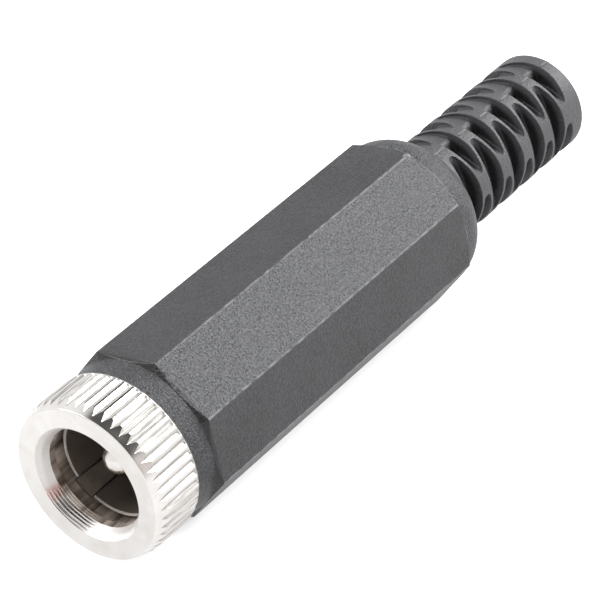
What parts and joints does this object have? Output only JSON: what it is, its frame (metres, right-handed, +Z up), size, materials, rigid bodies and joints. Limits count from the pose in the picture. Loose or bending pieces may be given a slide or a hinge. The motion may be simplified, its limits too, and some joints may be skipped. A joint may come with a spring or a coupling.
{
  "type": "in-line dc power socket",
  "caption": "Cable-mounted DC barrel jack: knurled metal mouth around a centre pin, octagonal plastic housing and a soft boot with staggered windows.",
  "frame": {"origin": "on the axis, at the front edge of the lip that guides the plug, 0.78 mm behind the front face", "axes": "-Y points out of the mouth along the axis, +Y runs to the boot's free end, +Z is up from the flat that the housing lies on"},
  "size_m": [0.01, 0.0452, 0.0101],
  "materials": {
    "shell_nickel": "satin nickel plate",
    "sleeve_nickel": "bright nickel plate",
    "pin_nickel": "polished nickel plate",
    "insulator_plastic": "moulded, matt",
    "tag_tin": "tin plate",
    "washer_fibre": "pressed fibre",
    "housing_plastic": "fine moulded grain",
    "boot_pvc": "soft satin"
  },
  "bodies": {
    "root": {"front_shell": "shell_nickel", "contact_sleeve": "sleeve_nickel", "centre_pin": "pin_nickel", "insulator": "insulator_plastic", "ground_tag": "tag_tin", "rear_washer": "washer_fibre", "pin_tag": "tag_tin", "housing": "housing_plastic", "strain_relief_boot": "boot_pvc"}
  },
  "joints": []
}
